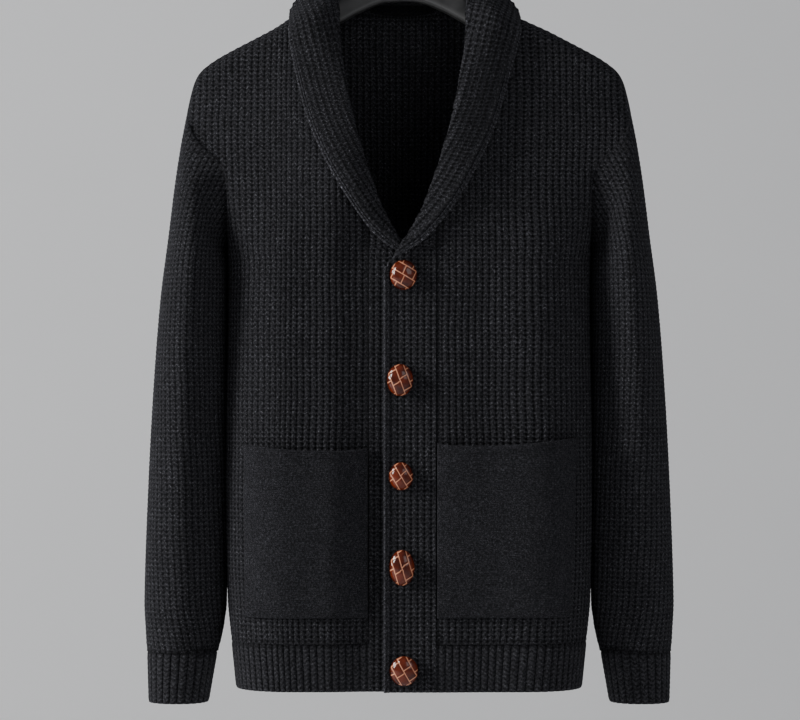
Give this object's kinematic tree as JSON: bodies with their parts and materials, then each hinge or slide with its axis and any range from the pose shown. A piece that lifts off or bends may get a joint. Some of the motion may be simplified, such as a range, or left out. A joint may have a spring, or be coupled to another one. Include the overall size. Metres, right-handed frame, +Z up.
{
  "type": "shawl collar cardigan on a hanger",
  "caption": "Shawl collar cardigan in dark waffle knit with a buttoned front, patch pockets and ribbed hem and cuffs, hanging on a wide-shoulder hanger.",
  "frame": {"origin": "inside crown of the hanger's hook, where it rests on the rail", "axes": "+Z up, +Y towards the garment's back, +X to the viewer's right, which is the wearer's left"},
  "size_m": [0.528, 0.1593, 0.8204],
  "materials": {
    "waffle_knit": "charcoal black waffle knit, matte",
    "rib_knit": "charcoal black 1x1 rib, matte",
    "fine_knit": "charcoal black fine felted knit, matte",
    "button_leather": "woven brown leather look, glossy",
    "hanger_plastic": "black, satin",
    "hook_steel": "bright plated steel wire"
  },
  "bodies": {
    "root": {"front_left": "waffle_knit", "front_right": "waffle_knit", "back": "waffle_knit", "sleeve_left": "waffle_knit", "sleeve_right": "waffle_knit", "band_left": "waffle_knit", "band_right": "waffle_knit", "collar": "waffle_knit", "cuff_left": "rib_knit", "cuff_right": "rib_knit", "hem_front_left": "rib_knit", "hem_front_right": "rib_knit", "hem_back": "rib_knit", "pocket_left": "fine_knit", "pocket_right": "fine_knit", "button_1": "button_leather", "button_2": "button_leather", "button_3": "button_leather", "button_4": "button_leather", "button_5": "button_leather", "hanger_body": "hanger_plastic", "hanger_hook": "hook_steel"}
  },
  "joints": []
}
